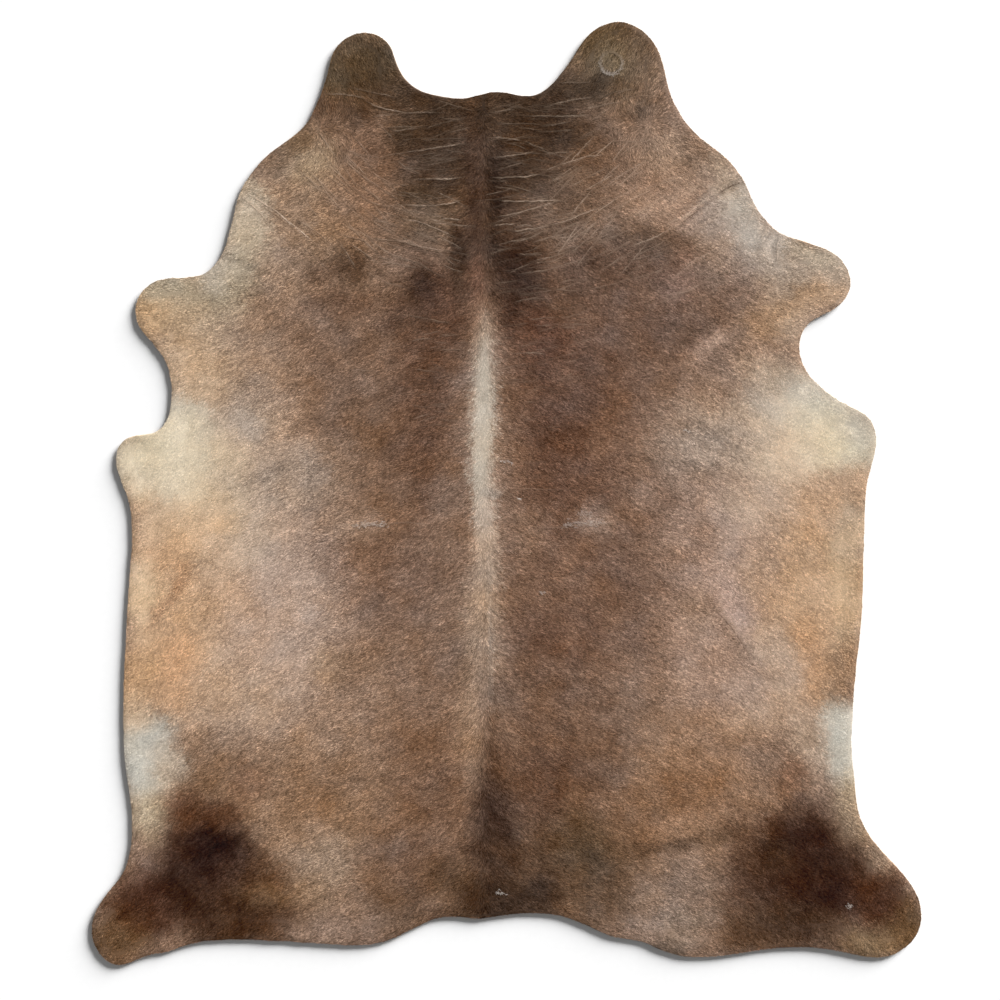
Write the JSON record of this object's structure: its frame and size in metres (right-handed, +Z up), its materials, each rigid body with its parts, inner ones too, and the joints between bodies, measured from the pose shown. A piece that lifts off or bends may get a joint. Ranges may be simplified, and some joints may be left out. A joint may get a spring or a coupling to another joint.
{
  "type": "cowhide rug",
  "caption": "Hair-on cowhide laid flat: neck lobes, foreleg and hind leg points, taupe short coat, pale stripe on the spine.",
  "frame": {"origin": "on the floor, under the middle of the hide's bounding box", "axes": "+X across the hide to the animal's right as it lies hair side up with the neck at the top, +Y along the spine towards the neck, +Z up out of the hair side"},
  "size_m": [2.022, 2.3002, 0.0096],
  "materials": {
    "coat": "short taupe hair lying flat on tanned leather"
  },
  "bodies": {
    "root": {"hide": "coat"}
  },
  "joints": []
}
